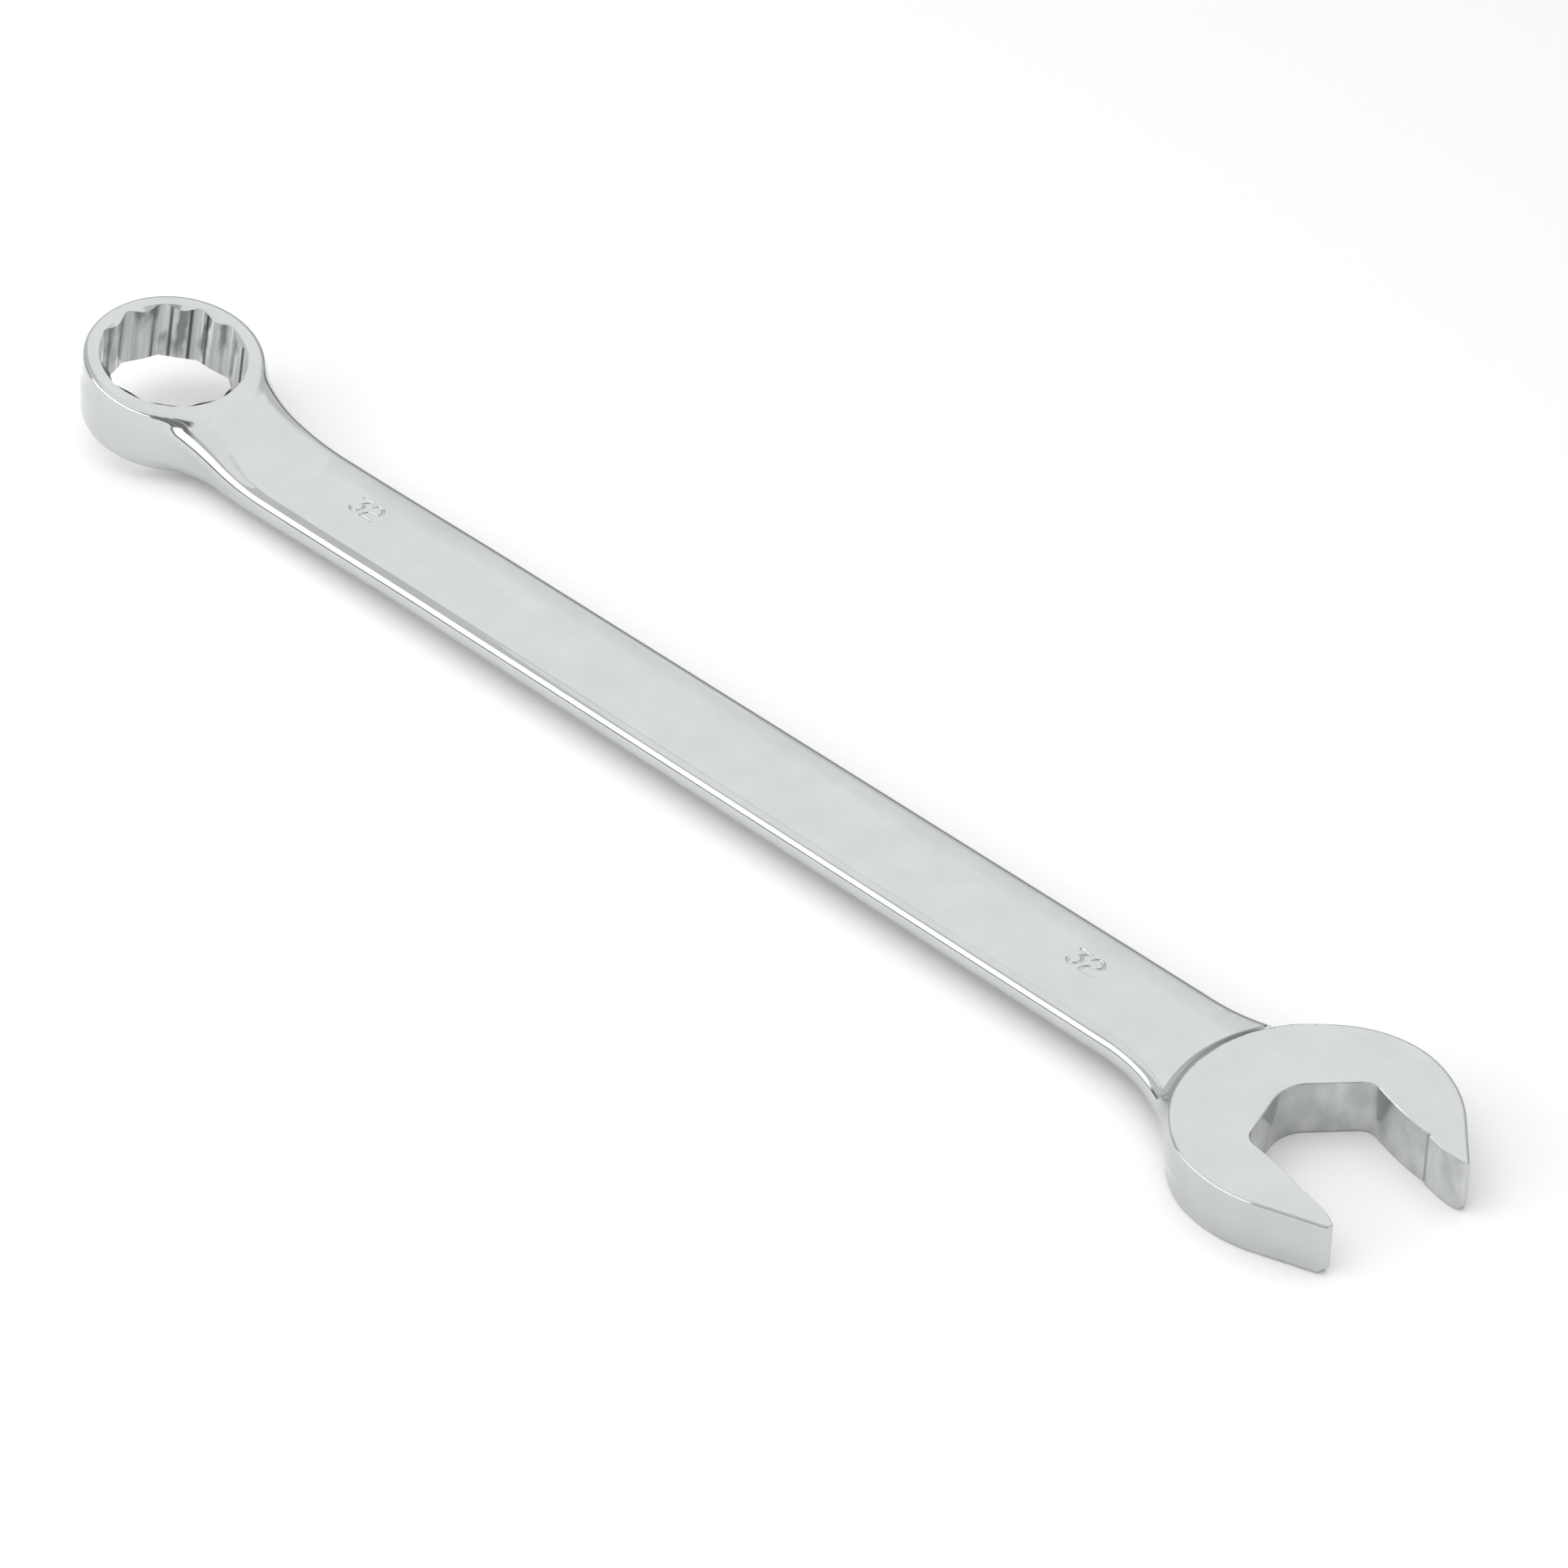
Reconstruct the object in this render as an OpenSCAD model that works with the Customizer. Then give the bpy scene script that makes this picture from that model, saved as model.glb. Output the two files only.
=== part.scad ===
// Combination wrench: a tilted twelve-point box end and an angled open end for one nut size.
// The real tool is a single plated drop forging. Each node here is one region of that
// forging, and neighbouring regions meet face to face.
// +X runs along the shank from the box end to the open end and +Z is up. The underside of
// the open end lies on Z = 0, and the origin is under the middle of the overall length.

/* [Nut] */
// Nut size across the flats, the same at both ends
across_flats = 32; // [28:0.5:36]
// Working clearance across the flats
nut_clearance = 0.1; // [0.05:0.05:0.4]
// Distance along the shank between the middles of the two ends
centre_distance = 375.6; // [320:0.2:440]

/* [Box end] */
// Wall of the ring at the socket's points
ring_wall = 3.6; // [3:0.1:6]
// Widening of the ring's wall from its upper edge to its lower edge
ring_draft = 0.2; // [0:0.1:1]
// Depth of the ring along the socket
ring_depth = 17; // [13:0.5:20]
// Tilt of the ring, which lifts its free side off the work
ring_tilt = 10.7; // [5:0.1:15]
// Height of the middle of the ring's upper face
ring_lift = 22.6; // [20:0.1:26]
// Rounding of the ring's outer edges
ring_edge = 1.3; // [0.5:0.1:1.8]
// Rounding inside each point of the socket
point_r = 1.3; // [0.5:0.1:1.8]
// Turn of the socket's points from the shank's centre line
socket_turn = -3; // [-15:1:15]
// Depth of the chamfer that leads the nut in, at both mouths
lead_in = 0.8; // [0.4:0.1:1.5]
// Width of that chamfer on the ring's faces
lead_w = 1.4; // [0.6:0.1:1.8]

/* [Shank] */
// Width of the shank
shank_w = 28.8; // [24:0.1:33]
// Thickness of the shank, whose long edges are fully rounded
shank_t = 7.4; // [6:0.1:9]
// Rise of the shank's crowned faces from their edges to their middle
shank_crown = 0.2; // [0.1:0.05:0.5]
// Height of the shank's middle plane
shank_level = 7.8; // [7:0.1:8.5]

/* [Box end neck] */
// Length of the neck from the middle of the ring to the plain shank
box_neck = 62; // [56:1:80]
// Radius of the flares between the shank's edges and the ring, seen from above
box_flare = 37; // [30:1:45]
// Radius of the ramp between the shank's faces and the ring's faces
box_ramp = 54; // [45:1:60]

/* [Open end] */
// Thickness of the open end
head_t = 13.8; // [12:0.1:16]
// Angle of the jaws from the shank
jaw_angle = 12; // [8:0.5:18]
// Sideways offset of the nut's centre from the shank's centre line
jaw_offset = 3.8; // [0:0.1:6]
// Reach of the jaw tips past the nut's centre
jaw_reach = 22.4; // [21:0.1:25]
// Lean of the head's outline past the jaws' own angle
head_lean = 1.9; // [0:0.1:3]
// Thickness of the web behind the nut's rear corner
web = 17.1; // [14:0.1:20]
// Thickness of the cheeks beside the nut
cheek = 16.2; // [14:0.1:19]
// Distance from the nut's centre back to the centre of the sides' radius
side_x = 8; // [6:0.5:10]
// Softening of the outline where the back of the head meets its sides
shoulder_soft = 1.6; // [0.5:0.1:4]
// Angle between each straight flank and the jaws' axis
flank_angle = 33; // [28:0.5:38]
// Rounding of the head's outer edges
head_edge = 0.9; // [0.4:0.1:1.4]
// Rounding under the jaw tips
tip_round = 3; // [1:0.5:5]

/* [Jaws] */
// Radius at the bottom of the throat
throat_r = 9.5; // [6:0.5:11]
// Radius in the corners between the throat and the jaw faces
corner_r = 3; // [1.5:0.5:5]
// Relief of each jaw face at its ends
face_relief = 0.5; // [0.2:0.05:0.8]
// Where the step between the jaw face and its grip pad lies, from the nut's centre
pad_x = 10.8; // [9:0.1:12]
// Length of the grip pad
pad_l = 4.4; // [3:0.1:6]
// Height of the step up to the grip pad
pad_step = 0.4; // [0.1:0.05:0.6]
// Radius that rolls each jaw face away at its tip
tip_r = 20; // [12:0.5:26]

/* [Open end neck] */
// Length of the neck from the plain shank to the middle of the open end
open_neck = 66; // [60:1:80]
// Radius of the flares between the shank's edges and the head, seen from above
open_flare = 44; // [36:1:50]
// Radius of the fillet up to the head's upper face
step_r = 3; // [2.5:0.1:5]
// Radius of the fillet down to the head's underside
under_step_r = 4.6; // [4.2:0.1:6]

/* [Hidden] */
forging = "silver";
cut = 1;          // how far a cutting solid runs past the face it cuts
flare_sink = 0.4; // how far a neck's flares run into the ring and the head
$fn = 96;

half_nut = (across_flats + nut_clearance) / 2;
crest_r = half_nut / cos(15);
corner_reach = half_nut / cos(30);
ring_r = corner_reach + ring_wall;
side_r = half_nut + cheek;
back_r = corner_reach + web;

ring_low_r = ring_r + ring_draft;
ring_reach = (ring_low_r - ring_edge) * cos(ring_tilt)
             + (ring_depth - ring_edge) * sin(ring_tilt) + ring_edge;
side_angle = 90 - flank_angle;
tip_half = (side_r - cos(side_angle) * (jaw_reach + side_x)) / sin(side_angle);
tip_reach = jaw_reach * cos(jaw_angle) + tip_half * sin(jaw_angle);
box_x = -(centre_distance + tip_reach - ring_reach) / 2;
open_x = box_x + centre_distance;

shank_edge = shank_t / 2 - shank_crown;
head_up = head_t - shank_level;

// Points on an arc
function arc(c, r, a0, a1, steps) =
  [for (i = [0:steps]) let (a = a0 + (a1 - a0) * i / steps) c + r * [cos(a), sin(a)]];
function mirrored(pts) = [for (i = [len(pts) - 1:-1:0]) [pts[i].x, -pts[i].y]];

// Half the angle that a flare of radius f leaves open at distance rho from the centre of a
// round body of radius r, for a straight edge that passes at distance off from that centre
function opening(rho, r, f, off) =
  let (d = r + f, a = asin((off + f) / d), far = norm([d * cos(a), off]))
  rho <= r ? a
  : rho >= far ? asin(off / rho)
  : a - acos((rho * rho + d * d - f * f) / (2 * rho * d));

// Height of a concave fillet of radius r that climbs s, at distance d from its top
function climb(d, s, r) =
  let (q = max(r, s), foot = sqrt(max(0, q * q - pow(q - s, 2))))
  d <= 0 ? s
  : d >= foot ? 0
  : q - sqrt(q * q - pow(foot - d, 2));

// Outline of the shank's section, as [sideways, height as a share of half the thickness],
// between a left and a right edge
function rim(left, right) =
  let (e = shank_edge, v = 2 * shank_edge / shank_t, l = left - e, r = right - e)
  concat(
    [for (a = [-80:20:80]) [-r - e * cos(a), v * sin(a)]],
    [for (i = [0:12]) let (q = i / 6 - 1)
      [-r + (l + r) * i / 12, 1 - (1 - v) * q * q]],
    [for (a = [80:-20:-80]) [l + e * cos(a), v * sin(a)]],
    [for (i = [12:-1:0]) let (q = i / 6 - 1)
      [-r + (l + r) * i / 12, (1 - v) * q * q - 1]]);
function flat_rim(x, left, right) = [for (p = rim(left, right)) [x, p.x, p.y]];
function bent_rim(rho, a_left, a_right) =
  let (mm = rho * PI / 180)
  [for (p = rim(a_left * mm, a_right * mm))
    [rho * cos(p.x / mm), rho * sin(p.x / mm), p.y]];

// Closed skin over a row of sections
module loft(rows) {
  n = len(rows[0]);
  m = len(rows);
  sides = [for (j = [0:m - 2], i = [0:n - 1]) let (k = (i + 1) % n)
    each [[j * n + i, j * n + k, (j + 1) * n + k], [j * n + i, (j + 1) * n + k, (j + 1) * n + i]]];
  polyhedron([for (row = rows) each row],
             concat(sides, [[for (i = [n - 1:-1:0]) i]], [[for (i = [0:n - 1]) (m - 1) * n + i]]));
}

// ---- Box end, drawn around the middle of the ring's upper face ----

module at_ring() {
  translate([box_x, 0, ring_lift])
    rotate([0, ring_tilt, 0])
      children();
}

module ring_blank() {
  e = ring_edge;
  rotate_extrude()
    polygon(concat([[0, -ring_depth]],
                   arc([ring_low_r - e, e - ring_depth], e, -90, 0, 6),
                   arc([ring_r - e, -e], e, 0, 90, 6),
                   [[0, 0]]));
}

module socket() {
  points = [for (k = [0:11])
    each concat([crest_r * [cos(30 * k - 15), sin(30 * k - 15)]],
                arc((corner_reach - point_r / cos(30)) * [cos(30 * k), sin(30 * k)],
                    point_r, 30 * k - 30, 30 * k + 30, 4))];
  rotate(socket_turn)
    translate([0, 0, -ring_depth - cut])
      linear_extrude(ring_depth + 2 * cut)
        polygon(points);
  wide = crest_r + lead_w * (lead_in + cut) / lead_in;
  translate([0, 0, -lead_in])
    cylinder(h = lead_in + cut, r1 = crest_r, r2 = wide);
  translate([0, 0, -ring_depth - cut])
    cylinder(h = lead_in + cut, r1 = wide, r2 = crest_r);
}

module box_end_ring() {
  color(forging) at_ring() difference() {
    ring_blank();
    socket();
  }
}

// Heights of the ring's two faces, at a distance x from the middle of its upper face
function ring_top(x) = ring_lift - x * tan(ring_tilt);
function ring_low(x) = ring_top(x) - ring_depth / cos(ring_tilt);

// Height of the neck's skin. x and y start at half the ring's depth, where the tilted ring
// stands ring_lean away from the middles of its two faces.
ring_lean = ring_depth * sin(ring_tilt) / 2;
function box_height(x, y, v) =
  let (up = v > 0,
       lean = up ? -ring_lean : ring_lean,
       edge_r = (up ? ring_r : ring_low_r) - ring_edge,
       rho = norm([x + lean, y]),
       wall_x = (x + lean) * min(1, edge_r / rho) - lean - ring_lean,
       rise = ring_top(edge_r) - shank_level - shank_t / 2,
       share = climb(rho - edge_r, rise, box_ramp) / rise,
       flat = shank_level + (up ? shank_t / 2 : -shank_t / 2),
       face = up ? ring_top(wall_x) : ring_low(wall_x),
       sunk = rho < edge_r - 0.01 ? 0.9 : 1)
  shank_level + sunk * abs(v) * (flat + (face - flat) * share - shank_level);

module box_end_neck() {
  half = shank_w / 2;
  inner = ring_r - ring_edge;
  length = box_neck + ring_lean;
  radii = concat([for (i = [-3:0]) inner + i],
                 [for (i = [1:16]) inner + (length - inner - 2) * pow(i / 16, 1.4)]);
  rows = concat(
    [flat_rim(ring_r / 5, ring_r / 3, ring_r / 3)],
    [for (rho = radii) let (a = opening(rho, ring_r - flare_sink, box_flare, half))
      bent_rim(rho, a, a)],
    [flat_rim(length, half, half)]);
  color(forging) difference() {
    translate([box_x - ring_lean, 0, 0])
      loft([for (row = rows) [for (p = row) [p.x, p.y, box_height(p.x, p.y, p.z)]]]);
    at_ring() ring_blank();
  }
}

// ---- Shank ----

module shank_section() {
  a = shank_w / 2 - shank_edge;
  crown_r = (a * a + pow(shank_t / 2, 2) - pow(shank_edge, 2)) / (shank_t - 2 * shank_edge);
  for (s = [-1, 1])
    translate([s * a, 0]) circle(shank_edge);
  intersection() {
    translate([0, shank_t / 2 - crown_r]) circle(crown_r, $fn = 720);
    translate([0, crown_r - shank_t / 2]) circle(crown_r, $fn = 720);
    square([2 * a * crown_r / (crown_r - shank_edge), shank_t], center = true);
  }
}

module shank() {
  color(forging)
    translate([box_x + box_neck, 0, shank_level])
      rotate([90, 0, 90])
        linear_extrude(centre_distance - box_neck - open_neck)
          shank_section();
}

// ---- Open end, drawn around the nut's centre with the jaws towards +X ----

module at_head() {
  translate([open_x, -jaw_offset, 0])
    rotate(-jaw_angle)
      children();
}

// Distance of the head's outline from the nut's centre, in the direction a from the jaws:
// a straight flank, then the round side, then the back
function soft_min(p, q, k) = min(p, q) - pow(max(k - abs(p - q), 0), 2) / (4 * k);
function head_reach(a) =
  let (flank_end = atan2(side_r * sin(side_angle), side_r * cos(side_angle) - side_x))
  a < flank_end
  ? (side_r - side_x * cos(side_angle)) / cos(a - side_angle)
  : soft_min(sqrt(side_r * side_r - pow(side_x * sin(a), 2)) - side_x * cos(a),
             back_r, shoulder_soft);

// Outline of the head, drawn in by a distance all round
function head_outline(inset) =
  let (steps = 36,
       a0 = atan2(tip_half, jaw_reach),
       upper = [for (i = [0:steps]) let (a = a0 + (180 - a0) * i / (steps + 0.5))
         (head_reach(a) - inset) * [cos(a), sin(a)]])
  concat(mirrored(upper), upper);

module head_blank() {
  e = head_edge;
  levels = concat([for (a = [0:22.5:90]) [e - e * sin(a), head_t - e + e * cos(a)]],
                  [for (a = [90:-22.5:0]) [e - e * sin(a), e - e * cos(a)]]);
  difference() {
    rotate(-head_lean)
      loft([for (l = levels) [for (p = head_outline(l[0])) [p.x, p.y, l[1]]]]);
    translate([jaw_reach - tip_round, 0, 0]) difference() {
      translate([0, -side_r, -cut]) cube([2 * tip_round, 2 * side_r, tip_round + cut]);
      translate([0, 0, tip_round]) rotate([90, 0, 0])
        cylinder(h = 4 * side_r, r = tip_round, center = true);
    }
  }
}

// The jaw opening: a relieved face, a grip pad and a rolled tip on each side of a hexagonal
// throat with a round bottom
module jaw_opening() {
  corner_x = -(half_nut - face_relief - corner_r) * tan(30);
  face_x = (pad_x + corner_x) / 2;
  face_r = pow(pad_x - face_x, 2) / (2 * face_relief);
  half_face = asin((pad_x - face_x) / face_r);
  pad_y = half_nut + face_relief - pad_step;
  roll = acos(1 - 4 / tip_r);
  bottom = -corner_reach + throat_r / cos(30);
  upper = concat(
    arc([bottom, 0], throat_r, 180, 150, 4),
    arc([corner_x, half_nut + face_relief - corner_r], corner_r, 150, 95, 4),
    arc([face_x, half_nut + face_r], face_r, -90 - half_face, -90 + half_face, 8),
    [[pad_x + pad_step, pad_y], [pad_x + pad_l, pad_y]],
    arc([pad_x + pad_l, pad_y + tip_r], tip_r, -85, -90 + roll, 6),
    [[2 * jaw_reach, side_r]]);
  translate([0, 0, -cut])
    linear_extrude(head_t + 2 * cut)
      polygon(concat(upper, mirrored(upper)));
}

// Part of the head between two distances along the jaws and two sideways
module head_part(x0, x1, y0, y1) {
  color(forging) at_head() difference() {
    intersection() {
      head_blank();
      translate([x0, y0, -cut]) cube([x1 - x0, y1 - y0, head_t + 2 * cut]);
    }
    jaw_opening();
  }
}

jaw_root = -corner_reach / 2;
reach = 2 * back_r;
module open_end_throat() {
  head_part(-reach, jaw_root, -reach, reach);
}
module left_jaw() {
  head_part(jaw_root, reach, 0, reach);
}
module right_jaw() {
  head_part(jaw_root, reach, -reach, 0);
}

// x and y from the nut's centre, with x back towards the shank
function open_height(x, y, v) =
  let (d = norm([x, y]) - back_r,
       up = head_up - shank_t / 2,
       down = shank_level - shank_t / 2,
       sunk = d < -head_edge - 0.01 ? 0.9 : 1)
  shank_level
  + sunk * v * (shank_t / 2 + (v > 0 ? climb(d, up, step_r) : climb(d, down, under_step_r)));

module open_end_neck() {
  left = shank_w / 2 - jaw_offset;
  right = shank_w / 2 + jaw_offset;
  radii = concat([back_r - head_edge - 1, back_r - head_edge],
                 [for (i = [0:20]) back_r + (open_neck - back_r - 2) * pow(i / 20, 1.8)]);
  rows = concat(
    [flat_rim(back_r / 3, back_r / 4, back_r / 4)],
    [for (rho = radii)
      bent_rim(rho, opening(rho, back_r - flare_sink, open_flare, left),
               opening(rho, back_r - flare_sink, open_flare, right))],
    [flat_rim(open_neck, left, right)]);
  color(forging) difference() {
    translate([open_x, -jaw_offset, 0])
      rotate(180)
        loft([for (row = rows) [for (p = row) [p.x, p.y, open_height(p.x, p.y, p.z)]]]);
    at_head() head_blank();
  }
}

box_end_ring();
box_end_neck();
shank();
open_end_neck();
open_end_throat();
left_jaw();
right_jaw();
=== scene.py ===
# %% [markdown]
# # A combination wrench, drop forged, broached and chrome plated
# This lesson dresses a CAD model of a 32 mm combination wrench. The CAD parts fix where
# everything is. We load them first and keep their box, because the finished model has to
# stay inside it.

# %% Load the CAD frame
import math

import bmesh
import bpy
import numpy as np
from mathutils import Matrix, Vector


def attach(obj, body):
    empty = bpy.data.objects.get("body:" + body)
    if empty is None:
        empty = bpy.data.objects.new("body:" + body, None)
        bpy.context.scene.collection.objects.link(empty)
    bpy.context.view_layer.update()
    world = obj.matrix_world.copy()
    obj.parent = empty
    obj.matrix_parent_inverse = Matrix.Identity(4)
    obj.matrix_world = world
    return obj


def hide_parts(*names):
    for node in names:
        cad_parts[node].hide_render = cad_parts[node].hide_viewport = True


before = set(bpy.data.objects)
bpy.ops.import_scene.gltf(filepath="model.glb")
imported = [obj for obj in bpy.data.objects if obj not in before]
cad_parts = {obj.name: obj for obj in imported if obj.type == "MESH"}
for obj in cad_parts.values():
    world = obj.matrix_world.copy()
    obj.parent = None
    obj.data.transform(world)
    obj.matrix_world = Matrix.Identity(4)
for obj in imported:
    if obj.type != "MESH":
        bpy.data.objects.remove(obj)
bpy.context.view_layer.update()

print("CAD nodes:", sorted(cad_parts))

# %% [markdown]
# ## Sizes
# A forging is drawn in millimetres, so the sizes below are too, and one factor brings
# them into Blender's metres at the very end. The frame is the CAD model's: +X runs from
# the box end to the open end, +Z is up and the open end lies on Z = 0.

# %% Sizes of the tool, in millimetres
MM = 0.001
HALF_NUT = 16.05  # half of 32 mm across the flats, with clearance
CREST_R = HALF_NUT / math.cos(math.radians(15))
CORNER_REACH = HALF_NUT / math.cos(math.radians(30))

BOX_X, OPEN_X = -188.259, 187.341  # middles of the box end and the open end
RING_TILT = math.radians(10.7)
RING_LIFT, RING_DEPTH, RING_R = 22.6, 17.0, 22.05
RING_SIDE, WIDER = 14.05, 0.45  # half the shank's width, and its gain to the head
HEAD_SIDE = RING_SIDE + WIDER
HEAD_T, JAW_REACH, JAW_OFFSET = 13.8, 22.4, 3.8
SIDE_R, SIDE_X, BACK_R = 32.24, 8.0, 35.63  # the head's rounder sides and its back
JAW_ANGLE, HEAD_LEAN = math.radians(12), math.radians(1.9)
FLANK = math.radians(57)  # direction that each straight flank faces
BOX_NECK_END, OPEN_NECK_END = BOX_X + 62, OPEN_X - 66

RING_ORIGIN = np.array([BOX_X, 0, RING_LIFT])
RING_UP = np.array([math.sin(RING_TILT), 0, math.cos(RING_TILT)])
RING_OUT = np.array([math.cos(RING_TILT), 0, -math.sin(RING_TILT)])
print("socket crest and corner radius, mm:", round(CREST_R, 2), round(CORNER_REACH, 2))

# %% [markdown]
# ## The forging as a distance field
# The real tool is hammered from one bar, so nothing on it starts or stops: the shank
# swells into the ring and the head through fillets ground smooth on a belt. Subdivision
# surfaces would need a hand-placed cage for every blend. A signed distance field is a
# better fit. Each region is a formula that is negative inside the metal, and a soft
# minimum melts two regions together with a fillet of the size we name.

# %% Blending two solids
def soft_min(a, b, fillet):
    h = np.maximum(fillet - np.abs(a - b), 0) / fillet
    return np.minimum(a, b) - h * h * fillet / 4


def soft_max(a, b, fillet):
    return -soft_min(-a, -b, fillet)


def rounded_corner(p, q, radius):
    """Inside both p < 0 and q < 0, with the corner between them rounded."""
    p, q = p + radius, q + radius
    return np.minimum(np.maximum(p, q), 0) + np.hypot(np.maximum(p, 0), np.maximum(q, 0)) - radius


def ease(t):
    t = np.clip(t, 0, 1)
    return t * t * (3 - 2 * t)


print("a 3 mm fillet fills", round(float(-soft_min(0.0, 0.0, 3.0)), 2), "mm in the corner")

# %% [markdown]
# ## The outlines, seen from above
# The shank's sides are straight and then sweep out into each end through an arc that
# touches both the side and the end's round wall. The distance to such an outline is
# exact and short: outside the arcs it is a line or a circle, and inside an arc's sector
# it is the distance to the arc. The head is a round back, two rounder sides and two
# straight flanks that run to the jaw tips.

# %% Outlines of the shank and the head
RING_FLARE_R, HEAD_FLARE_R = 37.0, 44.0  # the arcs that sweep out into each end
RING_FLARE_X, SIDE_FILLET = 0.7, 2.5
RING_FLARE_END, HEAD_FLARE_END = 50, 75  # past these the sides are straight
WIDENS_FROM, WIDENS_OVER = 60, 240  # from the socket, along the shank
FADE_FROM = 30  # from the head's middle


def flared_outline(along, across, edge, round_r, flare_r):
    """Distance to a straight edge that flares into a circle at the origin."""
    reach = round_r + flare_r
    cx, cy = math.sqrt(reach ** 2 - (edge + flare_r) ** 2), edge + flare_r
    in_arc = (cy * (along - cx) - cx * (across - cy) > 0) & (along < cx)
    arc = flare_r - np.hypot(along - cx, across - cy)
    straight = across - edge
    circle = np.hypot(along, across) - round_r
    return np.where(in_arc, arc, np.where(along < cx, circle, straight))


def half_width(x):
    """The shank is a little wider by the head than by the ring."""
    return RING_SIDE + WIDER * np.clip((x - BOX_X - WIDENS_FROM) / WIDENS_OVER, 0, 1)


def shank_outline(x, y):
    past_ring, back = x - BOX_X, OPEN_X - x
    straight = np.abs(y) - half_width(x)
    ring_side = flared_outline(past_ring + RING_FLARE_X, np.abs(y), RING_SIDE, RING_R, RING_FLARE_R)
    ring_side = np.where(past_ring > RING_FLARE_END, straight, ring_side)
    # the head sits off the shank's middle line, so its two flares differ
    far, near = (flared_outline(back, way * (y + JAW_OFFSET), HEAD_SIDE + way * JAW_OFFSET,
                                BACK_R, HEAD_FLARE_R) for way in (1, -1))
    head_side = np.where(back > HEAD_FLARE_END, straight, np.maximum(far, near))
    # inside the head the outline fades away, so that it leaves no mark on the head's wall
    head_side = head_side + 0.02 * np.clip(FADE_FROM - back, 0, None) ** 2
    return np.where(x < 0, ring_side, head_side)


def head_frame(x, y, lean):
    """Places measured along and across the jaws, which are turned against the shank."""
    c, s = math.cos(JAW_ANGLE + lean), math.sin(JAW_ANGLE + lean)
    dx, dy = x - OPEN_X, y + JAW_OFFSET
    return dx * c - dy * s, dx * s + dy * c


def head_outline(x, y):
    a, b = head_frame(x, y, HEAD_LEAN)
    ax, bx = a + SIDE_X, np.abs(b)
    past = ax * math.sin(FLANK) - bx * math.cos(FLANK)
    side = np.where(past > 0, ax * math.cos(FLANK) + bx * math.sin(FLANK), np.hypot(ax, b))
    return soft_max(side - SIDE_R, np.hypot(a, b) - BACK_R, SIDE_FILLET)


print("width at mid-length, mm:", round(2 * float(half_width(0.0)), 2))

# %% [markdown]
# ## The shank's two faces, seen from the side
# Near the ring the upper face climbs along an arc about the socket, and the underside
# dips a little to meet the ring's lower edge. At the head the upper face ends in a short
# toe. Elsewhere both faces are nearly flat, with a slight crown that belt grinding leaves,
# and the long edges are fully rounded. A lofted mesh could do this too, but each of these
# rises is one short formula of the distance to an outline, so the field keeps them exact.

# %% The shank as a solid
SHANK_EDGE = 3.4  # radius of the long edges
SHANK_TOP, SHANK_LOW = 11.02, 2.72  # heights of the two faces beside the ring
TOP_GAIN, LOW_GAIN = 0.46, 1.38  # how far each rises on its way to the head
CLIMB_R, CLIMB_FOOT, CLIMB_L = 48, 47.4, 40  # the climb's arc, its start and its length
SHOULDER, SHOULDER_FOOT, SHOULDER_W = 0.9, 46, 5.5
CROWN, CROWN_FROM, CROWN_W = 0.3, 14, 10.6  # its depth, and where it starts inside the edge
TOE, TOE_L = 1.75, 4.2


def shank_distance(x, y, z):
    plan = shank_outline(x, y)
    reach = np.hypot(x - BOX_X, 0.8 * y)  # how far a spot is from the socket
    climb = np.clip(CLIMB_FOOT - reach, 0, CLIMB_L)
    ramp = CLIMB_R - np.sqrt(CLIMB_R ** 2 - climb ** 2)
    # the shoulders drop beside the climb, and the whole face has a slight crown
    by_side = np.clip((plan + SHOULDER_W) / SHOULDER_W, 0, 1) ** 2
    shoulder = SHOULDER * ease((SHOULDER_FOOT - reach) / 20) * by_side
    crown = CROWN * np.clip((plan + CROWN_FROM) / CROWN_W, 0, 1) ** 2 + shoulder
    # the short toe runs up to the head
    to_head = np.where(x > 100, head_outline(x, y), TOE_L)
    toe = TOE * ease(1 - to_head / TOE_L)
    top = SHANK_TOP + TOP_GAIN * ease((x - BOX_X - 55) / 50) + ramp + toe - crown
    low = SHANK_LOW + LOW_GAIN * ease((reach - 35) / 60) + crown
    high = rounded_corner(plan, z - top, SHANK_EDGE)
    return np.maximum(high, rounded_corner(plan, low - z, SHANK_EDGE))


upper_half = shank_distance(np.array(0.0), np.array(0.0), np.array(7.79))
print("thickness at mid-length, mm:", round(float(-2 * upper_half), 2))

# %% [markdown]
# ## The ring and the head
# The ring is a tilted disc whose outer wall leans less than the socket does, because the
# forging dies need draft. The head is a flat plate over its outline. Both are trimmed by
# their faces with softened edges, which catch the light as a fine line. The radii are
# those that a polishing wheel leaves: about 1.7 mm on the ring and under 1 mm on the head.

# %% The ring and the head as solids
WALL_DRAFT, WALL_SHIFT = 0.07, 0.3  # the ring's wall leans 4 degrees off the socket
RING_FILLET, UPPER_EDGE, LOWER_EDGE = 1.9, 1.7, 1.6
HEAD_FILLET, HEAD_EDGE, TIP_EDGE = 2.5, 0.75, 3.0
RING_ZONE = 30  # the ring's faces cut nothing beyond this


def ring_distance(x, y, z):
    dx, dz = x - BOX_X, z - RING_LIFT
    out = dx * RING_OUT[0] + dz * RING_OUT[2]
    up = dx * RING_UP[0] + dz * RING_UP[2]
    wall = np.hypot(out - WALL_SHIFT + WALL_DRAFT * up, y) - RING_R
    return wall, up


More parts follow.
